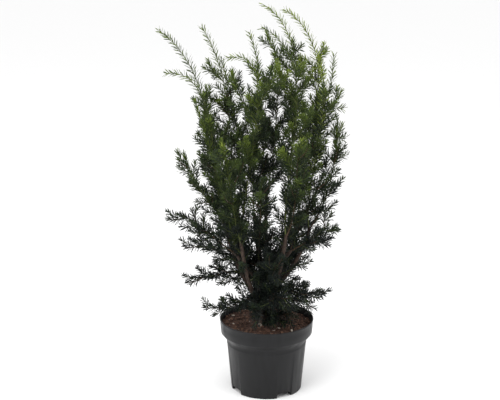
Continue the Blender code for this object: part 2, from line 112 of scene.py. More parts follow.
floor_mesh = bpy.data.meshes.new("floor")
corners = [(x * FLOOR_REACH, y * FLOOR_REACH, 0.0) for x, y in ((-1, -1), (1, -1), (1, 1), (-1, 1))]
floor_mesh.from_pydata(corners, [], [(0, 1, 2, 3)])
floor_mesh.materials.append(principled("pale_floor", FLOOR_COLOUR, 0.9, 0.1))
floor = bpy.data.objects.new("floor", floor_mesh)
bpy.context.scene.collection.objects.link(floor)


# The pot: one injection moulding in black plastic, a slightly flared tub with a short upright collar,
# a rolled rim, a fine moulded ring below the collar and a foot with four drain notches. The profile
# is turned about the axis, and the foot's lower edge is lifted where a notch is.

RIM_HEIGHT = 0.203
RIM_RADIUS = 0.130
RIM_LIP = 0.0022
COLLAR_RADIUS = 0.1265
COLLAR_HEIGHT = 0.1645
NECK_RADIUS = 0.111
NECK_HEIGHT = 0.1447
BASE_RADIUS = 0.098
WALL = 0.0020
UNDERSIDE_HEIGHT = 0.0115
UNDERSIDE_RADIUS = 0.075
NOTCH_ANGLES = (-60.0, 30.0, 120.0, 210.0)
NOTCH_WIDTH = 0.046
NOTCH_HEIGHT = 0.0125
RING_BELOW_NECK = 0.010
RING_PROUD = 0.0006
POT_TURN = 288
FOOT_ROWS = slice(2, 5)
PLASTIC = (0.006, 0.006, 0.007)
PLASTIC_DARK = (0.0045, 0.0045, 0.0050)
PLASTIC_DUSTY = (0.0110, 0.0112, 0.0120)


def mesh_piece(name, points, faces, materials, slot, smooth=True, indices=None):
    """An object from whole arrays: points (n, 3), faces (m, 3) and each face's material number."""
    mesh = bpy.data.meshes.new(name)
    mesh.vertices.add(len(points))
    mesh.vertices.foreach_set("co", np.asarray(points, np.float32).ravel())
    mesh.loops.add(faces.size)
    mesh.loops.foreach_set("vertex_index", np.asarray(faces, np.int32).ravel())
    mesh.polygons.add(len(faces))
    mesh.polygons.foreach_set("loop_start", np.arange(0, faces.size, faces.shape[1], dtype=np.int32))
    mesh.polygons.foreach_set("use_smooth", np.full(len(faces), smooth))
    for surface in materials:
        mesh.materials.append(surface)
    if indices is not None:
        mesh.polygons.foreach_set("material_index", np.asarray(indices, np.int32))
    mesh.update(calc_edges=True)
    mesh.validate()
    made = bpy.data.objects.new(name, mesh)
    bpy.context.scene.collection.objects.link(made)
    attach(made, "root")
    return made


def grid_faces(rows, columns):
    """Two triangles for each cell of a grid of points whose last column joins its first."""
    row, column = np.meshgrid(np.arange(rows - 1), np.arange(columns), indexing="ij")
    a = row * columns + column
    b = row * columns + (column + 1) % columns
    c, d = a + columns, b + columns
    return np.stack([a, b, d, a, d, c], axis=-1).reshape(-1, 3)


def pot_surface():
    """The profile turned about Z: P(i, a) = (r(i) cos a, r(i) sin a, z(i, a)).

    In the foot's rows z is at least h·sqrt(1 − (d/w)⁸) at a distance d from a notch's middle, where
    h is the notch's height and w half its width.
    """
    ring = NECK_HEIGHT - RING_BELOW_NECK
    ring_radius = BASE_RADIUS + (NECK_RADIUS - BASE_RADIUS) * ring / NECK_HEIGHT
    inside = RIM_RADIUS - RIM_LIP
    profile = [
        (0.0005, UNDERSIDE_HEIGHT),
        (UNDERSIDE_RADIUS, UNDERSIDE_HEIGHT),
        (BASE_RADIUS - WALL - 0.0010, 0.0),
        (BASE_RADIUS - 0.0006, 0.0),
        (BASE_RADIUS, 0.0008),
        (ring_radius - 0.0002, ring - 0.0030),
        (ring_radius + RING_PROUD, ring - 0.0012),
        (ring_radius + RING_PROUD, ring + 0.0012),
        (ring_radius + 0.0003, ring + 0.0030),
        (NECK_RADIUS, NECK_HEIGHT),
        (NECK_RADIUS + 0.0045, NECK_HEIGHT + 0.0060),
        (COLLAR_RADIUS - 0.0025, COLLAR_HEIGHT - 0.0030),
        (COLLAR_RADIUS, COLLAR_HEIGHT),
        (0.5 * (COLLAR_RADIUS + RIM_RADIUS), 0.5 * (COLLAR_HEIGHT + RIM_HEIGHT)),
        (RIM_RADIUS - 0.0010, RIM_HEIGHT - 0.0042),
        (RIM_RADIUS, RIM_HEIGHT - 0.0030),
        (RIM_RADIUS, RIM_HEIGHT - 0.0010),
        (RIM_RADIUS - 0.0008, RIM_HEIGHT),
        (inside, RIM_HEIGHT),
        (inside - 0.0006, RIM_HEIGHT - 0.0012),
        (inside - 0.0010, RIM_HEIGHT - 0.0150),
        (inside - 0.0030, RIM_HEIGHT - 0.0300),
    ]
    radii, heights = np.array(profile).T
    turn = np.arange(POT_TURN) * 2.0 * math.pi / POT_TURN
    lift = np.zeros(POT_TURN)
    for angle in NOTCH_ANGLES:
        apart = (turn - math.radians(angle) + math.pi) % (2.0 * math.pi) - math.pi
        off = np.clip(np.abs(apart * BASE_RADIUS) / (0.5 * NOTCH_WIDTH), 0.0, 1.0)
        lift = np.maximum(lift, NOTCH_HEIGHT * np.sqrt(1.0 - off**8))
    z = np.repeat(heights[:, None], POT_TURN, axis=1)
    z[FOOT_ROWS] = np.maximum(z[FOOT_ROWS], lift + z[FOOT_ROWS] * 0.5)
    x = radii[:, None] * np.cos(turn)
    y = radii[:, None] * np.sin(turn)
    points = np.stack([x, y, z], axis=-1).reshape(-1, 3)
    return points, grid_faces(len(profile), POT_TURN)


def noise_node(tree, scale, detail, upright=1.0):
    """Noise on Object coordinates. A value of upright below 1 draws it out along Z."""
    place = tree.nodes.new("ShaderNodeTexCoord")
    stretch = tree.nodes.new("ShaderNodeMapping")
    stretch.inputs["Scale"].default_value = (1.0, 1.0, upright)
    tree.links.new(place.outputs["Object"], stretch.inputs["Vector"])
    noise = tree.nodes.new("ShaderNodeTexNoise")
    noise.inputs["Scale"].default_value = scale
    noise.inputs["Detail"].default_value = detail
    tree.links.new(stretch.outputs["Vector"], noise.inputs["Vector"])
    return noise


def colour_by(tree, noise, dark, light, spread):
    """The base colour goes from dark to light as the noise goes through the spread."""
    ramp = tree.nodes.new("ShaderNodeValToRGB")
    for element, colour, position in zip(ramp.color_ramp.elements, (dark, light), spread):
        element.color = (*colour, 1.0)
        element.position = position
    tree.links.new(noise.outputs["Fac"], ramp.inputs["Fac"])
    tree.links.new(ramp.outputs["Color"], tree.nodes["Principled BSDF"].inputs["Base Color"])


def relief_by(tree, noise, strength, depth):
    """The noise raises the surface by up to depth."""
    bump = tree.nodes.new("ShaderNodeBump")
    bump.inputs["Strength"].default_value = strength
    bump.inputs["Distance"].default_value = depth
    tree.links.new(noise.outputs["Fac"], bump.inputs["Height"])
    tree.links.new(bump.outputs["Normal"], tree.nodes["Principled BSDF"].inputs["Normal"])


def black_plastic():
    """Moulded black plastic: a fine grain, faint upright rub marks and a dusting that dulls it."""
    made = principled("black_plastic", PLASTIC, 0.40, 0.22)
    tree = made.node_tree
    marks = noise_node(tree, 60.0, 6.0, upright=0.12)
    dulling = tree.nodes.new("ShaderNodeMapRange")
    for socket, value in (("From Min", 0.35), ("From Max", 0.70), ("To Min", 0.34), ("To Max", 0.55)):
        dulling.inputs[socket].default_value = value
    tree.links.new(marks.outputs["Fac"], dulling.inputs["Value"])
    tree.links.new(dulling.outputs["Result"], tree.nodes["Principled BSDF"].inputs["Roughness"])
    colour_by(tree, marks, PLASTIC_DARK, PLASTIC_DUSTY, (0.35, 0.80))
    relief_by(tree, noise_node(tree, 900.0, 2.0), 0.12, 0.0004)
    return made


pot_piece = mesh_piece("nursery_pot", *pot_surface(), [black_plastic()], "pot_plastic")
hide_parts("pot")


# The potting mix: damp red-brown bark and peat filled to 15 mm below the rim, uneven on top, with
# bark chips lying on it and a few pale grains. Its top is a disc of noise, and the chips lie flat.

SOIL_HEIGHT = 0.187
SOIL_RADIUS = 0.1262
SOIL_CENTRE = 0.0008
SOIL_SUNK = 0.0012
SOIL_RINGS = 60
SOIL_TURN = 220
# Height and breadth of the mounds, clods and crumbs
ROUGHNESSES = ((0.0016, 0.022), (0.0012, 0.007), (0.0008, 0.0030))
SUNK_EDGE = 0.0020
SKIRT_DEPTH = 0.012
SKIRT_SHRINK = 0.985
CHIP_COUNT = 900
CHIP_SIZE = (0.0022, 0.0065)
CHIP_REACH = 0.122
CHIP_TILT = 0.35
CHIP_SUNK = 0.0008
CHIP_LIFT = 0.0015
CHIP_SEED = 21
PALE_SHARE = 0.05
CHIP_SHAPE = np.array([
    (-1.0, -0.5, 0.0), (1.0, -0.4, 0.0), (0.9, 0.5, 0.0), (-0.8, 0.6, 0.0),
    (-0.8, -0.3, 0.35), (0.8, -0.3, 0.30), (0.7, 0.4, 0.38), (-0.6, 0.4, 0.28),
])
CHIP_FACES = np.array([
    (0, 2, 1), (0, 3, 2), (4, 5, 6), (4, 6, 7), (0, 1, 5), (0, 5, 4),
    (1, 2, 6), (1, 6, 5), (2, 3, 7), (2, 7, 6), (3, 0, 4), (3, 4, 7),
])
# What every crumbly surface shares: its gloss, its noise, where its browns part and its relief
CRUMBS = {"roughness": 0.9, "specular": 0.25, "detail": 8.0, "upright": 1.0}
CRUMBS |= {"spread": (0.38, 0.66), "strength": 0.7, "depth": 0.0015}


def value_noise(points, size, seed):
    """Smooth noise from −1 to 1: random values at the corners of a cell, blended by 3t² − 2t³.

    A corner's value comes from its whole-number place, by multiplying and mixing the bits.
    """
    scaled = np.asarray(points, float) / size
    cell = np.floor(scaled).astype(np.int64)
    t = scaled - cell
    t = t * t * (3.0 - 2.0 * t)
    total = np.zeros(scaled.shape[:-1])
    for corner in itertools.product((0, 1), repeat=3):
        x, y, z = np.moveaxis((cell + corner + 4096) & 8191, -1, 0)
        mixed = (x * 73856093) ^ (y * 19349663) ^ (z * 83492791) ^ (seed * 7919)
        mixed = ((mixed & 0xFFFFFF) * 1103515245 + 12345) >> 9
        value = (mixed & 0xFFFF) / 65535.0
        total += value * np.prod(np.where(corner, t, 1.0 - t), axis=-1)
    return 2.0 * total - 1.0


def soil_surface():
    """P(r, a) = (r cos a, r sin a, h + noise), sunk at the edge, with a skirt inside the pot's wall."""
    radii = np.linspace(SOIL_CENTRE, SOIL_RADIUS, SOIL_RINGS)
    turn = np.arange(SOIL_TURN) * 2.0 * math.pi / SOIL_TURN
    x = radii[:, None] * np.cos(turn)
    y = radii[:, None] * np.sin(turn)
    flat = np.stack([x, y, np.zeros_like(x)], axis=-1)
    rough = sum(
        height * value_noise(flat, breadth, seed)
        for seed, (height, breadth) in enumerate(ROUGHNESSES, start=1)
    )
    z = SOIL_HEIGHT - SOIL_SUNK + rough - SUNK_EDGE * (radii[:, None] / SOIL_RADIUS) ** 6
    z = np.concatenate([z, np.full((1, SOIL_TURN), SOIL_HEIGHT - SKIRT_DEPTH)])
    x = np.concatenate([x, x[-1:] * SKIRT_SHRINK])
    y = np.concatenate([y, y[-1:] * SKIRT_SHRINK])
    points = np.stack([x, y, z], axis=-1).reshape(-1, 3)
    return points, grid_faces(SOIL_RINGS + 1, SOIL_TURN)


def turned(u, v, angle):
    """Each row of u and v turned by its angle: (u cos a − v sin a, u sin a + v cos a)."""
    cosine, sine = np.cos(angle)[:, None], np.sin(angle)[:, None]
    return u * cosine - v * sine, u * sine + v * cosine


def chips():
    """Flat eight-cornered chips: corner = place + heading · tilt · size · shape, lying on the mix."""
    rng = np.random.default_rng(CHIP_SEED)
    reach = CHIP_REACH * np.sqrt(rng.uniform(0.01, 1.0, CHIP_COUNT))
    turn = rng.uniform(0.0, 2.0 * math.pi, CHIP_COUNT)
    size = rng.uniform(*CHIP_SIZE, CHIP_COUNT) * rng.uniform(0.5, 1.0, CHIP_COUNT)
    heading, tilt = rng.uniform(0.0, 6.28, CHIP_COUNT), rng.normal(0.0, CHIP_TILT, CHIP_COUNT)
    shape = CHIP_SHAPE[None] * rng.uniform(0.7, 1.3, (CHIP_COUNT, 8, 3)) * size[:, None, None]
    x, y, z = np.moveaxis(shape, -1, 0)
    x, z = turned(x, z, tilt)
    x, y = turned(x, y, heading)
    x += (reach * np.cos(turn))[:, None]
    y += (reach * np.sin(turn))[:, None]
    z += SOIL_HEIGHT - CHIP_SUNK + rng.uniform(0.0, CHIP_LIFT, (CHIP_COUNT, 1))
    points = np.stack([x, y, z], axis=-1).reshape(-1, 3)
    faces = (CHIP_FACES[None] + 8 * np.arange(CHIP_COUNT)[:, None, None]).reshape(-1, 3)
    kinds = np.where(rng.uniform(size=CHIP_COUNT) < PALE_SHARE, 2, rng.integers(0, 2, CHIP_COUNT))
    return points, faces, np.repeat(kinds, len(CHIP_FACES))


def mottled(name, dark, light, scale, finish):
    """Two colours dealt by noise, with a relief from the same noise."""
    made = principled(name, dark, finish["roughness"], finish["specular"])
    noise = noise_node(made.node_tree, scale, finish["detail"], finish["upright"])
    colour_by(made.node_tree, noise, dark, light, finish["spread"])
    relief_by(made.node_tree, noise, finish["strength"], finish["depth"])
    return made


mix_material = mottled("potting_mix", (0.022, 0.012, 0.009), (0.110, 0.058, 0.040), 260.0, CRUMBS)
mix_piece = mesh_piece("potting_mix_top", *soil_surface(), [mix_material], "potting_mix", smooth=False)
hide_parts("growing_medium")
chip_points, chip_faces, chip_kinds = chips()
chip_materials = [
    mottled("bark_chip_dark", (0.030, 0.016, 0.011), (0.080, 0.042, 0.028), 500.0, CRUMBS),
    mottled("bark_chip_light", (0.070, 0.036, 0.024), (0.190, 0.105, 0.070), 500.0, CRUMBS),
    mottled("pale_grain", (0.300, 0.260, 0.210), (0.550, 0.500, 0.430), 500.0, CRUMBS),
]
mesh_piece(
    "bark_chips", chip_points, chip_faces, chip_materials, "potting_mix", smooth=False, indices=chip_kinds
)


# The trunk and boughs: a short red-brown trunk with a root flare, and eleven boughs that leave it at
# about 45 degrees and straighten up. The bark is thin and flakes in long plates along the limb.

CLEAR = 0.0003
TRUNK_FOOT = (-0.004, 0.0, SOIL_HEIGHT + CLEAR)
TRUNK_TOP = (-0.034, 0.004, 0.500)
TRUNK_RADIUS = 0.0120
TRUNK_TOP_RADIUS = 0.0050
FLARE = 0.0075
FLARE_HEIGHT = 0.014
TRUNK_POINTS = 12
BOUGH_TIP_RADIUS = 0.0046
BOUGH_POINTS = 7
BOUGH_PULL = 0.9
# name: (height on the trunk, tip, direction at the tip, radius at the trunk)
BOUGHS = {
    "far_left": (0.236, (-0.118, -0.010, 0.490), (-0.22, 0.00, 1.0), 0.0068),
    "left": (0.276, (-0.085, 0.045, 0.530), (-0.12, 0.10, 1.0), 0.0066),
    "back_left": (0.224, (-0.080, 0.110, 0.470), (-0.15, 0.25, 1.0), 0.0064),
    "front_left": (0.206, (-0.070, -0.090, 0.450), (-0.10, -0.15, 1.0), 0.0066),
    "front_right": (0.226, (0.050, -0.095, 0.470), (0.12, -0.12, 1.0), 0.0066),
    "right": (0.298, (0.070, 0.012, 0.540), (0.10, 0.00, 1.0), 0.0070),
    "far_right": (0.256, (0.115, -0.025, 0.470), (0.16, -0.05, 1.0), 0.0066),
    "back_right": (0.212, (0.090, 0.105, 0.480), (0.15, 0.20, 1.0), 0.0064),
    "back": (0.258, (0.000, 0.115, 0.500), (0.05, 0.10, 1.0), 0.0066),
    "low_left": (0.300, (-0.085, -0.060, 0.410), (-0.50, -0.20, 0.9), 0.0058),
    "low_right": (0.325, (0.065, -0.050, 0.415), (0.50, -0.20, 0.9), 0.0058),
}
LIMB_STEP = 0.003
LIMB_SIDES = 28
TRUNK_RELIEF = 0.16
BOUGH_RELIEF = 0.14
TRUNK_SEED = 31
BOUGH_SEED = 40
UPRIGHT_FOOT = 0.004
PLATE_BREADTH = 0.0030
FLAKE_BREADTH = 0.0012
PLATE_STRETCH = 6.0
FLAKING = {"roughness": 0.85, "specular": 0.3, "detail": 7.0, "upright": 0.22}
FLAKING |= {"spread": (0.36, 0.68), "strength": 0.6, "depth": 0.0008}


def unit(vectors):
    """Each vector divided by its length."""
    vectors = np.asarray(vectors, float)
    return vectors / np.linalg.norm(vectors, axis=-1, keepdims=True)


def bend(start, leave, end, arrive, steps, pull=1.0):
    """A Hermite bend from A to B that leaves along a and arrives along b, with p = pull·|AB|:

    (2t³ − 3t² + 1)A + (3t² − 2t³)B + p(t³ − 2t² + t)a + p(t³ − t²)b.
    """
    start, end = np.asarray(start, float), np.asarray(end, float)
    t = np.linspace(0.0, 1.0, steps + 1)[:, None]
    reach = np.linalg.norm(end - start) * pull
    line = (2 * t**3 - 3 * t**2 + 1) * start + (-2 * t**3 + 3 * t**2) * end
    return line + (t**3 - 2 * t**2 + t) * reach * unit(leave) + (t**3 - t**2) * reach * unit(arrive)


def travelled(line):
    """How far each point of a line is from its start, along the line."""
    return np.concatenate([[0.0], np.cumsum(np.linalg.norm(np.diff(line, axis=0), axis=1))])


def spaced(line, step):
    """The same line with its points an even step apart."""
    gone = travelled(line)
    at = np.linspace(0.0, gone[-1], max(3, round(gone[-1] / step) + 1))
    return np.stack([np.interp(at, gone, line[:, axis]) for axis in range(3)], axis=1)


def carried_frame(line):
    """Directions square to the line: each takes out of the last one its part along the line."""
    onward = unit(np.gradient(line, axis=0))
    first = np.empty_like(line)
    last = np.cross(onward[0], (0.0, 1.0, 0.0) if abs(onward[0][1]) < 0.8 else (1.0, 0.0, 0.0))
    for step, direction in enumerate(onward):
        last = last - direction * (last @ direction)
        last = last / math.sqrt(last @ last)
        first[step] = last
    return onward, first, np.cross(onward, first)


def tube(line, radii, sides, relief=0.0, seed=0):
    """P(i, a) = line(i) + r(i)(1 + relief·noise)(cos a·U(i) + sin a·V(i)), with a point at each end.

    The noise is read at (r cos a, r sin a, a sixth of the way along), so that it runs in long plates.
    """
    onward, first, second = carried_frame(line)
    turn = np.arange(sides) * 2.0 * math.pi / sides
    out = np.cos(turn)[None, :, None] * first[:, None] + np.sin(turn)[None, :, None] * second[:, None]
    radii = np.broadcast_to(np.asarray(radii, float)[:, None], (len(line), sides))
    if relief:
        x, y = radii * np.cos(turn), radii * np.sin(turn)
        z = np.broadcast_to(travelled(line)[:, None] / PLATE_STRETCH, x.shape)
        read = np.stack([x, y, z], axis=-1)
        plates = np.abs(value_noise(read, PLATE_BREADTH, seed))
        plates = plates + 0.5 * value_noise(read, FLAKE_BREADTH, seed + 1)
        radii = radii * (1.0 + relief * (plates - 0.3))
    rings = (line[:, None] + radii[..., None] * out).reshape(-1, 3)
    ends = [line[0] - onward[0] * 1e-4, line[-1] + onward[-1] * radii[-1].mean()]
    ring = np.arange(sides)
    beside = (ring + 1) % sides
    last = (len(line) - 1) * sides
    foot_fan = np.stack([beside, ring, np.full(sides, len(rings))], axis=1)
    tip_fan = np.stack([last + ring, last + beside, np.full(sides, len(rings) + 1)], axis=1)
    return np.concatenate([rings, ends]), np.concatenate([grid_faces(len(line), sides), foot_fan, tip_fan])


def joined(shapes):
    """Several meshes' points and faces as one."""
    starts = np.cumsum([0] + [len(points) for points, _ in shapes[:-1]])
    points = np.concatenate([points for points, _ in shapes])
    return points, np.concatenate([faces + start for (_, faces), start in zip(shapes, starts)])


def trunk_line():
    """The trunk's first 4 mm stand upright, and the rest bends to its top."""
    above = np.array(TRUNK_FOOT) + (0.0, 0.0, UPRIGHT_FOOT)
    rest = bend(above, (-0.02, 0.02, 1.0), TRUNK_TOP, (-0.10, -0.02, 1.0), TRUNK_POINTS)
    return np.concatenate([[TRUNK_FOOT], rest])


def trunk_radius(height):
    """r = an even taper + flare · exp(−rise / flare height)."""
    rise = height - TRUNK_FOOT[2]
    taper = (TRUNK_TOP_RADIUS - TRUNK_RADIUS) * rise / (TRUNK_TOP[2] - TRUNK_FOOT[2])
    return TRUNK_RADIUS + taper + FLARE * np.exp(-rise / FLARE_HEIGHT)


def on_trunk(height):
    """The point of the trunk's line at this height."""
    line = trunk_line()
    return np.array([np.interp(height, line[:, 2], line[:, axis]) for axis in range(3)])


def bough_line(name):
    """A bough leaves the trunk outwards at 45 degrees, and bends to its tip."""
    height, tip, arrive, _ = BOUGHS[name]
    foot = on_trunk(height)
    outward = unit([tip[0] - foot[0], tip[1] - foot[1], 0.0])
    return bend(foot, outward + (0.0, 0.0, 1.0), tip, arrive, BOUGH_POINTS, BOUGH_PULL)


even_trunk = spaced(trunk_line(), LIMB_STEP)
limbs = [tube(even_trunk, trunk_radius(even_trunk[:, 2]), LIMB_SIDES, TRUNK_RELIEF, TRUNK_SEED)]
for number, (name, (_, _, _, root_radius)) in enumerate(BOUGHS.items()):
    even_bough = spaced(bough_line(name), LIMB_STEP)
    bough_radii = np.linspace(root_radius, BOUGH_TIP_RADIUS, len(even_bough))
    limbs.append(tube(even_bough, bough_radii, LIMB_SIDES, BOUGH_RELIEF, BOUGH_SEED + number))
bark = mottled("flaking_bark", (0.016, 0.010, 0.008), (0.070, 0.047, 0.034), 300.0, FLAKING)
limb_piece = mesh_piece("trunk_and_boughs", *joined(limbs), [bark], "bark")
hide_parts("trunk", *(f"bough_{name}" for name in BOUGHS))


# The foliage: thirty-eight leafy stems off the boughs and trunk, each with side shoots, and twigs on
# both. Every line carries flat needles in a spiral, dark and dense low down, new and light at the top.
# Their colour is partly painted light and shade: darker low down and inside, lighter at the top and front.

# name: (bough, trunk or height on the trunk, tip, direction there, side length, how many, how far up)
MASSES = {
    "top": ("right", (-0.012, 0.020, 1.066), (-0.85, 0.0, 0.50), 0.180, 7, 0.66),
    "top_right": ("right", (0.046, 0.062, 1.046), (-0.80, 0.0, 0.45), 0.180, 7, 0.66),
    "top_middle": ("front_right", (-0.013, -0.060, 1.014), (-0.75, 0.0, 0.35), 0.180, 7, 0.66),
    "centre": ("trunk", (-0.047, -0.015, 0.994), (-0.35, 0.0, 0.90), 0.180, 7, 0.66),
    "arching": ("front_left", (-0.105, -0.095, 0.942), (-0.90, 0.0, -0.25), 0.180, 7, 0.66),
    "left": ("left", (-0.172, 0.030, 1.003), (-0.50, 0.0, 0.80), 0.180, 7, 0.66),
    "far_left": ("far_left", (-0.284, 0.000, 1.000), (-0.85, 0.0, 0.60), 0.130, 6, 0.55),
    "left_reach": ("far_left", (-0.262, -0.060, 0.897), (-1.00, 0.0, -0.12), 0.110, 5, 0.60),
    "left_shoulder": ("low_left", (-0.190, -0.070, 0.825), (-0.3, -0.1, 0.9), 0.110, 6, 0.80),
    "right": ("far_right", (0.130, -0.040, 0.945), (-0.30, 0.0, 0.90), 0.180, 7, 0.66),
    "right_shoulder": ("far_right", (0.186, -0.010, 0.765), (0.0, 0.0, 1.0), 0.110, 5, 0.80),
    "far_right": ("back_right", (0.180, 0.080, 0.921), (0.05, 0.0, 1.00), 0.180, 7, 0.66),
    "front_left": ("front_left", (-0.120, -0.175, 0.745), (-0.2, -0.3, 0.8), 0.110, 6, 0.85),
    "front_right": ("front_right", (0.080, -0.180, 0.735), (0.1, -0.3, 0.8), 0.110, 6, 0.85),
    "front_centre": (0.400, (-0.015, -0.165, 0.640), (0.05, -0.30, 0.90), 0.110, 6, 0.85),
    "left_middle": (0.430, (-0.219, -0.080, 0.688), (-0.25, 0.0, 1.00), 0.090, 5, 0.85),
    "right_middle": ("low_right", (0.145, -0.060, 0.625), (0.3, 0.0, 0.9), 0.090, 5, 0.85),
    "back_left": ("back_left", (-0.125, 0.140, 0.900), (-0.3, 0.3, 0.9), 0.180, 7, 0.66),
    "back": ("back", (0.015, 0.120, 0.960), (-0.20, 0.20, 0.90), 0.180, 7, 0.66),
    "back_left_shoulder": ("back_left", (-0.175, 0.155, 0.720), (-0.3, 0.3, 0.8), 0.10, 5, 0.85),
    "back_right_shoulder": ("back_right", (0.135, 0.180, 0.745), (0.3, 0.3, 0.8), 0.10, 6, 0.85),
    "back_middle": ("back", (-0.015, 0.205, 0.760), (0.0, 0.3, 0.9), 0.110, 6, 0.85),
    "low_left_upper": ("low_left", (-0.240, -0.045, 0.514), (-0.9, 0.0, 0.35), 0.080, 5, 0.85),
    "low_left_middle": (0.345, (-0.212, 0.033, 0.421), (-0.80, 0.0, 0.50), 0.085, 5, 0.85),
    "low_left_lower": (0.330, (-0.203, 0.010, 0.318), (-0.90, -0.2, 0.20), 0.075, 5, 0.85),
    "low_left_foot": (0.260, (-0.152, -0.100, 0.275), (-0.80, 0.0, 0.50), 0.050, 4, 0.85),
    "low_right_upper": ("low_right", (0.160, -0.095, 0.500), (0.6, 0.0, 0.8), 0.080, 4, 0.85),
    "low_right_middle": (0.335, (0.166, 0.065, 0.424), (0.75, -0.20, 0.60), 0.080, 5, 0.85),
    "low_right_lower": (0.285, (0.140, -0.090, 0.316), (0.80, 0.0, 0.50), 0.070, 5, 0.85),
    "low_right_foot": (0.240, (0.125, 0.030, 0.236), (0.90, 0.0, -0.20), 0.055, 4, 0.85),
    "low_front": (0.335, (0.020, -0.150, 0.405), (-0.10, -0.60, 0.70), 0.085, 5, 0.85),
    "low_front_left": (0.260, (-0.035, -0.115, 0.270), (-0.3, -0.7, 0.5), 0.060, 4, 0.85),
    "low_front_right": (0.285, (0.040, -0.130, 0.310), (0.3, -0.7, 0.5), 0.060, 4, 0.85),
    "foot_front": (0.205, (0.018, -0.068, 0.222), (0.00, -0.60, 0.40), 0.045, 3, 0.85),
    "foot_right": (0.210, (0.062, -0.058, 0.235), (0.50, -0.50, 0.30), 0.045, 3, 0.85),
    "low_back_left": (0.345, (-0.140, 0.150, 0.470), (-0.50, 0.50, 0.60), 0.090, 5, 0.85),
    "low_back_right": (0.335, (0.120, 0.170, 0.450), (0.50, 0.50, 0.60), 0.090, 5, 0.85),
    "low_back": (0.310, (0.050, 0.150, 0.340), (0.00, 0.80, 0.50), 0.080, 5, 0.85),
}
NAMES = list(MASSES)
SEED = 11
GOLDEN_ANGLE = math.radians(137.5)
UP = np.array((0.0, 0.0, 1.0))
STEM_RISE = 0.55
SPREAD = 0.35
PITCH = 0.0235
FIRST_SHOOT = 0.14
SHOOT_ANGLE = 44.0
SHOOT_SHRINK = 0.35
SHRINKS = (1.0, 0.8, 0.62, 0.45)
MASS_TURN = 0.7
CROWN_CENTRE_X = -0.015
CROWN_HEIGHTS = (0.19, 0.26, 0.40, 0.55, 0.70, 0.85, 1.00)
CROWN_RADII = (0.10, 0.125, 0.150, 0.150, 0.175, 0.185, 0.150)
BEYOND_CROWN = 0.032
SPACE_MARGIN = 0.004
LIMB_MARGIN = 0.0105


def finer(line, parts):
    """The same line with each step split into equal parts."""
    steps = [np.linspace(a, b, parts, endpoint=False) for a, b in zip(line[:-1], line[1:])]
    return np.concatenate(steps + [line[-1:]])


def distance(points, cloud):
    """How far each point is from the nearest point of a cloud."""
    return np.linalg.norm(points[:, None] - cloud[None], axis=2).min(axis=1)


def across(direction):
    """Two directions square to this one and to each other."""
    other = (0.0, 1.0, 0.0) if abs(direction[1]) < 0.8 else (1.0, 0.0, 0.0)
    first = unit(np.cross(direction, other))
    return first, np.cross(direction, first)


def along(line, share):
    """The point at this share of the line's steps, and the line's direction there."""
    place = share * (len(line) - 1)
    step = min(int(place), len(line) - 2)
    point = line[step] + (line[step + 1] - line[step]) * (place - step)
    return point, unit(line[step + 1] - line[step])


def leaving(onward, turn, angle):
    """The direction at an angle to a line, turned about it: cos(angle)·T + sin(angle)·(cos U + sin V)."""
    first, second = across(onward)
    outward = math.cos(turn) * first + math.sin(turn) * second
    return math.cos(angle) * onward + math.sin(angle) * outward


def stem_line(name):
    """A bend from its bough's or the trunk's tip, or out of the trunk's side, to the mass's tip.

    Stems that share a bough start a little apart and lean away from each other.
    """
    carrier, tip, arrive, *_ = MASSES[name]
    tip = np.array(tip)
    if isinstance(carrier, float):
        foot = on_trunk(carrier)
        leave = unit([tip[0] - foot[0], tip[1] - foot[1], 0.0]) + STEM_RISE * UP
    else:
        limb = trunk_line() if carrier == "trunk" else bough_line(carrier)
        leave = unit(limb[-1] - limb[-2])
        foot = limb[-1] + CLEAR * leave
        sharing = [MASSES[other][1] for other in NAMES if MASSES[other][0] == carrier]
        if len(sharing) > 1:
            away = tip - np.mean(sharing, axis=0)
            away = unit(away - leave * (away @ leave))
            foot = foot + away * BOUGH_TIP_RADIUS * 0.55
            leave = leave + SPREAD * away
    return bend(foot, leave, tip, arrive, 3 * max(4, round(np.linalg.norm(tip - foot) * 1.05 / PITCH)))


STEMS = {name: stem_line(name) for name in NAMES}
STEM_CLOUDS = {name: finer(line, 2) for name, line in STEMS.items()}
LIMB_CLOUD = np.concatenate([finer(trunk_line(), 6)] + [finer(bough_line(name), 6) for name in BOUGHS])


def in_space(points, name, margin):
    """A mass's space is what lies nearer to its own stem than to any other, less a margin."""
    others = np.concatenate([STEM_CLOUDS[other] for other in NAMES if other != name])
    return distance(points, STEM_CLOUDS[name]) + margin <= distance(points, others)


def strays(points, name):
    """Points outside the crown's round outline that are also far from the mass's own stem."""
    radius = np.interp(points[:, 2], CROWN_HEIGHTS, CROWN_RADII)
    outside = np.hypot(points[:, 0] - CROWN_CENTRE_X, points[:, 1]) > radius
    return outside & (distance(points, STEM_CLOUDS[name]) > BEYOND_CROWN)


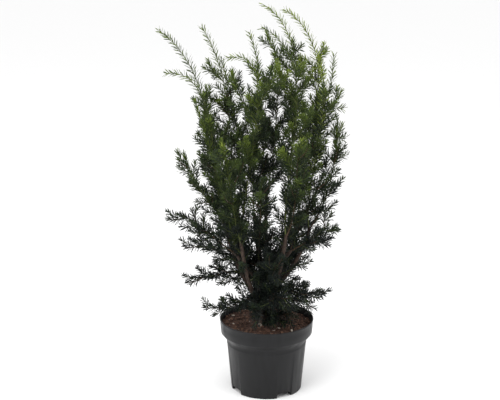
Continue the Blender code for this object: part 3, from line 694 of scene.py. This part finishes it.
def side_shoots(name):
    """Shoots that leave the stem by the golden angle and bend up beside it, shorter where crowded."""
    *_, length, count, last = MASSES[name]
    number = NAMES.index(name)
    shoots = []
    for shoot in range(count):
        rng = np.random.default_rng((SEED, number, shoot))
        share = FIRST_SHOOT + (last - FIRST_SHOOT) * (shoot + rng.uniform(-0.2, 0.2)) / (count - 1)
        foot, onward = along(STEMS[name], share)
        turn = number * MASS_TURN + shoot * GOLDEN_ANGLE + rng.uniform(-0.3, 0.3)
        leave = leaving(onward, turn, math.radians(SHOOT_ANGLE + rng.uniform(-6.0, 6.0)))
        arrive = unit(0.5 * leave + 0.5 * UP + 0.8 * onward)
        climb = (share - FIRST_SHOOT) / (last - FIRST_SHOOT)
        full = length * (1.0 - SHOOT_SHRINK * climb) * rng.uniform(0.9, 1.1)
        for shrink in SHRINKS:
            reach = full * shrink
            tip = foot + reach * unit(leave + 0.6 * arrive)
            line = bend(foot, leave, tip, arrive, 3 * max(2, round(reach / PITCH)))
            outer = line[len(line) // 4 :]
            free = in_space(outer, name, SPACE_MARGIN) & (distance(outer, LIMB_CLOUD) > LIMB_MARGIN)
            if (free & ~strays(outer, name)).all():
                shoots.append(line)
                break
    return shoots


# A twig's length, where the first and the last one stand, and how far apart they are. On a stem the
# last one stands a little past its last side shoot.
STEM_TWIGS = (0.062, 0.05, 0.020)
SHOOT_TWIGS = (0.048, 0.10, 0.80, 0.022)
BOUGH_TWIGS = (0.060, 0.15, 0.99, 0.020)
TRUNK_TWIGS = (0.060, 0.10, 0.97, 0.012)
PAST_LAST_SHOOT = 0.03
TWIG_ANGLE = 50.0
TWIG_STEPS = 6
LINE_STEP = 0.004
# Owners of the twigs on the boughs and on the trunk, which choose their random draws
BOUGH_OWNER = 900
TRUNK_OWNER = 901


def twigs(line, length, first, last, gap, owner, order):
    """Twigs that leave a line at about 50 degrees, each a golden angle on, and curve upwards.

    A twig's length is L(1 − 0.4·share) times a random 0.7 to 1.15.
    """
    rng = np.random.default_rng((SEED, owner, order, 5))
    count = int(travelled(line)[-1] * (last - first) / gap)
    even = spaced(line, LINE_STEP)
    grown = []
    for number in range(count):
        share = first + (last - first) * (number + rng.uniform(0.0, 0.8)) / count
        foot, onward = along(even, share)
        turn = number * GOLDEN_ANGLE + rng.uniform(-0.4, 0.4) + order
        leave = leaving(onward, turn, math.radians(TWIG_ANGLE + rng.uniform(-7.0, 7.0)))
        arrive = unit(leave + 0.5 * UP + 0.3 * onward)
        reach = length * (1.0 - 0.4 * share) * rng.uniform(0.7, 1.15)
        grown.append(bend(foot, leave, foot + reach * unit(leave + 0.5 * arrive), arrive, TWIG_STEPS))
    return grown


NEEDLE_LENGTH = 0.0215
NEEDLE_WIDTH = 0.0026
NEEDLE_SPACING = 0.00115
NEEDLE_ANGLE = 55.0
NEEDLE_CLOSING = 25.0
NEEDLE_LIFT = 0.12
NEEDLE_ROLL = 0.35
FRESHER_TIP = 0.22
LEVEL_SCATTER = 0.05
# The leaders' needles stand further apart and further out, and are longer
LEADER_SPACING = 1.7
LEADER_ANGLE = 66.0
LEADER_LENGTH = 1.25
# Where a needle's two rings stand along it, and the share of its width there
NEEDLE_RINGS = ((0.14, 0.85), (0.72, 1.0))
NEEDLE_KEEL = 0.42
NEEDLE_FACES = np.array([
    (0, 2, 1), (0, 3, 2), (0, 1, 3),
    (1, 2, 5), (1, 5, 4), (2, 3, 6), (2, 6, 5), (3, 1, 4), (3, 4, 6),
    (4, 5, 7), (5, 6, 7), (6, 4, 7),
])


def needles(line, bare, fresh_and_lit, rng, leader):
    """Needles along a line: foot, direction, side, length and colour level of each, as arrays.

    Needle n leaves at n golden angles round the line, at an angle A − 25°·w³ from it, where w is how
    far along it stands, and is lifted a little. Its length is L(1 − 0.4w⁴), its level rises with w.
    """
    gone = travelled(line)
    total = gone[-1]
    spacing = NEEDLE_SPACING * (LEADER_SPACING if leader else 1.0)
    count = max(6, int(total * (1.0 - bare) / spacing))
    at = np.linspace(bare * total, total, count)
    feet = np.stack([np.interp(at, gone, line[:, axis]) for axis in range(3)], axis=1)
    step = np.clip(np.searchsorted(gone, at) - 1, 0, len(line) - 2)
    onward = unit(np.diff(line, axis=0))[step]
    square = np.where(np.abs(onward[:, 1:2]) < 0.8, [[0.0, 1.0, 0.0]], [[1.0, 0.0, 0.0]])
    first = unit(np.cross(onward, square))
    second = np.cross(onward, first)
    turn = np.arange(count) * GOLDEN_ANGLE + rng.uniform(0.0, 2.0 * math.pi)
    outward = np.cos(turn)[:, None] * first + np.sin(turn)[:, None] * second
    share = at / total
    widest = LEADER_ANGLE if leader else NEEDLE_ANGLE
    angle = np.radians(widest - NEEDLE_CLOSING * share**3 + rng.uniform(-6.0, 6.0, count))[:, None]
    lean = unit(np.cos(angle) * onward + np.sin(angle) * outward + NEEDLE_LIFT * UP)
    side = unit(np.cross(lean, onward) + NEEDLE_ROLL * rng.normal(size=(count, 3)))
    side = unit(side - lean * np.sum(side * lean, axis=1, keepdims=True))
    length = NEEDLE_LENGTH * (1.0 - 0.4 * share**4) * rng.uniform(0.85, 1.1, count)
    if leader:
        length = length * LEADER_LENGTH
    # The level starts from how new and how lit the spray is, painted light and shade included, and rises
    # towards the tip with new growth.
    level = fresh_and_lit + FRESHER_TIP * (share - 0.5) + rng.normal(0.0, LEVEL_SCATTER, count)
    return feet, lean, side, length, level


def needle_mesh(feet, lean, side, length):
    """Closed flat needles of eight points: the foot B, rings at B + 0.14·L and B + 0.72·L, and the tip.

    A ring is +w·S, 0.42·w·K and −w·S, where K = L × S and w is half the needle's width there.
    """
    keel = np.cross(lean, side)
    half = 0.5 * NEEDLE_WIDTH
    reach = length[:, None]
    corners = [feet]
    for share, width in NEEDLE_RINGS:
        middle, edge = feet + share * reach * lean, width * half
        corners += [middle + edge * side, middle + NEEDLE_KEEL * edge * keel, middle - edge * side]
    corners.append(feet + reach * lean)
    points = np.stack(corners, axis=1).reshape(-1, 3)
    faces = NEEDLE_FACES[None] + 8 * np.arange(len(feet))[:, None, None]
    return points, faces.reshape(-1, 3)


# Base colours from the darkest inner needles to the newest tips, and the levels that part them; the darker
# ones serve partly as painted shade, the lighter ones partly as painted light
NEEDLE_COLOURS = (
    (0.005, 0.009, 0.007),
    (0.009, 0.016, 0.009),
    (0.019, 0.032, 0.011),
    (0.044, 0.068, 0.014),
    (0.100, 0.142, 0.020),
    (0.190, 0.245, 0.034),
)
NEEDLE_LEVELS = (0.16, 0.32, 0.50, 0.68, 0.84)
needle_materials = [
    principled(f"needle_{number}", colour, 0.50, 0.22) for number, colour in enumerate(NEEDLE_COLOURS)
]
twig_materials = [
    mottled("brown_twig", (0.040, 0.024, 0.015), (0.120, 0.078, 0.048), 400.0, FLAKING),
    mottled("green_twig", (0.060, 0.075, 0.024), (0.120, 0.140, 0.045), 400.0, FLAKING),
]
STEM_RADIUS = 0.0022
SHOOT_RADIUS = 0.0017
TWIG_RADIUS = 0.0011
TIP_RADIUS = 0.0006
TWIG_SIDES = 5
BARE_LIMB = 0.05
BARE_TWIG = 0.08
LEADER_HEIGHT = 0.88
GREEN_BARK = 0.55
DRESSED_STEP = 0.006
INNER_OWNER = 950
BESIDE_BOX = 0.004
BESIDE_RIM = 0.003
BELOW_RIM = 0.012
# The mean level of a piece, which holds painted light and shade as well as age, above which its colour
# group is green_needles or fresh_needles
GREEN_GROUP = 0.35
FRESH_AND_LIT_GROUP = 0.62
# The most needles in one piece, which keeps it under 200,000 triangles
MOST_NEEDLES = 16000


def freshness_and_painted_light(line, rng):
    """How new and how lit a spray's needles look: 0.04 + 0.56h + 0.16(o + f)(0.3 + 0.7h), and a random
    −0.16 to 0.20.

    h, o and f go from 0 to 1: how high its tip is, how far out and how far to the front. The rise with h
    is new growth at the top and also painted light from above. A low o leaves inner sprays darker, as
    older needles and as painted shade. A high f makes front sprays lighter as painted light.
    """
    tip = line[-1]
    # Partly painted light from above: higher sprays get lighter needles, as well as newer ones.
    high = np.clip((tip[2] - 0.42) / 0.60, 0.0, 1.0)
    # Partly painted shade: sprays deep inside the bush get darker needles, as well as older ones.
    out = np.clip(math.hypot(tip[0] - CROWN_CENTRE_X, tip[1]) / 0.20, 0.0, 1.0)
    # Painted light: sprays towards the front, where the lamps are, get lighter needles.
    front = np.clip(-tip[1] / 0.18, 0.0, 1.0)
    return 0.04 + 0.56 * high + (0.16 * out + 0.16 * front) * (0.3 + 0.7 * high) + rng.uniform(-0.16, 0.20)


def dressed(lines, owner):
    """Twig tubes, their material numbers and needle arrays, for (line, radius, bare share, leader)."""
    tubes, kinds, sprays = [], [], []
    for number, (line, radius, bare, leader) in enumerate(lines):
        rng = np.random.default_rng((SEED, owner, number, 7))
        # How new and how lit the spray looks, with painted light and shade in it; above GREEN_BARK it also
        # gives the twig green bark.
        fresh_and_lit = freshness_and_painted_light(line, rng)
        even = spaced(line, DRESSED_STEP)
        tubes.append(tube(even, np.linspace(radius, TIP_RADIUS, len(even)), TWIG_SIDES))
        green = radius <= TWIG_RADIUS or fresh_and_lit > GREEN_BARK
        kinds.append(np.full(len(tubes[-1][1]), 1 if green else 0))
        sprays.append(needles(even, bare, fresh_and_lit, rng, leader))
    return tubes, kinds, [np.concatenate(parts) for parts in zip(*sprays)]


def clear_of_pot(feet, lean, length):
    """Needles clear of the potting mix and the pot's rim, and inside the CAD model's box."""
    tips = feet + length[:, None] * lean
    low, high = np.array(CAD_BOX[0]), np.array(CAD_BOX[1])
    inside = ((tips > low - BESIDE_BOX) & (tips < high + BESIDE_BOX)).all(axis=1)
    over_pot = np.hypot(tips[:, 0], tips[:, 1]) < RIM_RADIUS + BESIDE_RIM
    return inside & ~(over_pot & (tips[:, 2] < RIM_HEIGHT - BELOW_RIM)) & (feet[:, 2] > SOIL_HEIGHT)


def as_twigs(grown):
    """Twigs as lines to be dressed."""
    return [(line, TWIG_RADIUS, BARE_TWIG, False) for line in grown]


def grown_mass(name):
    """A mass: its stem, the side shoots and the twigs on each of them."""
    number = NAMES.index(name)
    stem, last = STEMS[name], MASSES[name][5]
    length, first, gap = STEM_TWIGS
    lines = [(stem, STEM_RADIUS, BARE_LIMB, stem[-1][2] > LEADER_HEIGHT)]
    lines += as_twigs(twigs(stem, length, first, last + PAST_LAST_SHOOT, gap, number, 0))
    for order, shoot in enumerate(side_shoots(name), start=1):
        lines.append((shoot, SHOOT_RADIUS, BARE_LIMB, False))
        lines += as_twigs(twigs(shoot, *SHOOT_TWIGS, number, order))
    return dressed(lines, number)


def inner_growth():
    """Short twigs on the boughs and trunk, which fill the inside of the bush; sitting low and inside, they
    get dark needles, partly as painted shade.
    """
    lines = []
    for number, name in enumerate(BOUGHS):
        lines += as_twigs(twigs(bough_line(name), *BOUGH_TWIGS, BOUGH_OWNER, number))
    lines += as_twigs(twigs(trunk_line(), *TRUNK_TWIGS, TRUNK_OWNER, 0))
    return dressed(lines, INNER_OWNER)


def foliage_pieces(number, masses, grown):
    """Joins masses into one piece of needles, which stands for the CAD's, and one of twigs."""
    tubes = [shape for mass_tubes, _, _ in grown for shape in mass_tubes]
    kinds = np.concatenate([tube_kinds for _, mass_kinds, _ in grown for tube_kinds in mass_kinds])
    sprays = [np.concatenate(parts) for parts in zip(*[spray for _, _, spray in grown])]
    keep = clear_of_pot(sprays[0], sprays[1], sprays[3])
    feet, lean, side, length, level = (values[keep] for values in sprays)
    points, faces = needle_mesh(feet, lean, side, length)
    colours = np.repeat(np.searchsorted(NEEDLE_LEVELS, level), len(NEEDLE_FACES))
    slot = "dark_needles"
    if level.mean() > GREEN_GROUP:
        slot = "green_needles"
    if level.mean() > FRESH_AND_LIT_GROUP:
        slot = "fresh_needles"
    needles_made = mesh_piece(f"needles_{number}", points, faces, needle_materials, slot, indices=colours)
    mesh_piece(f"twigs_{number}", *joined(tubes), twig_materials, "bark", indices=kinds)
    if masses:
        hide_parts(*(f"foliage_{name}" for name in masses))


batches = [{}]
held = 0
for name in NAMES:
    grown = grown_mass(name)
    held += len(grown[2][0])
    if held > MOST_NEEDLES:
        batches.append({})
        held = len(grown[2][0])
    batches[-1][name] = grown
for number, batch in enumerate(batches, start=1):
    foliage_pieces(number, list(batch), list(batch.values()))
foliage_pieces("inner", [], [inner_growth()])
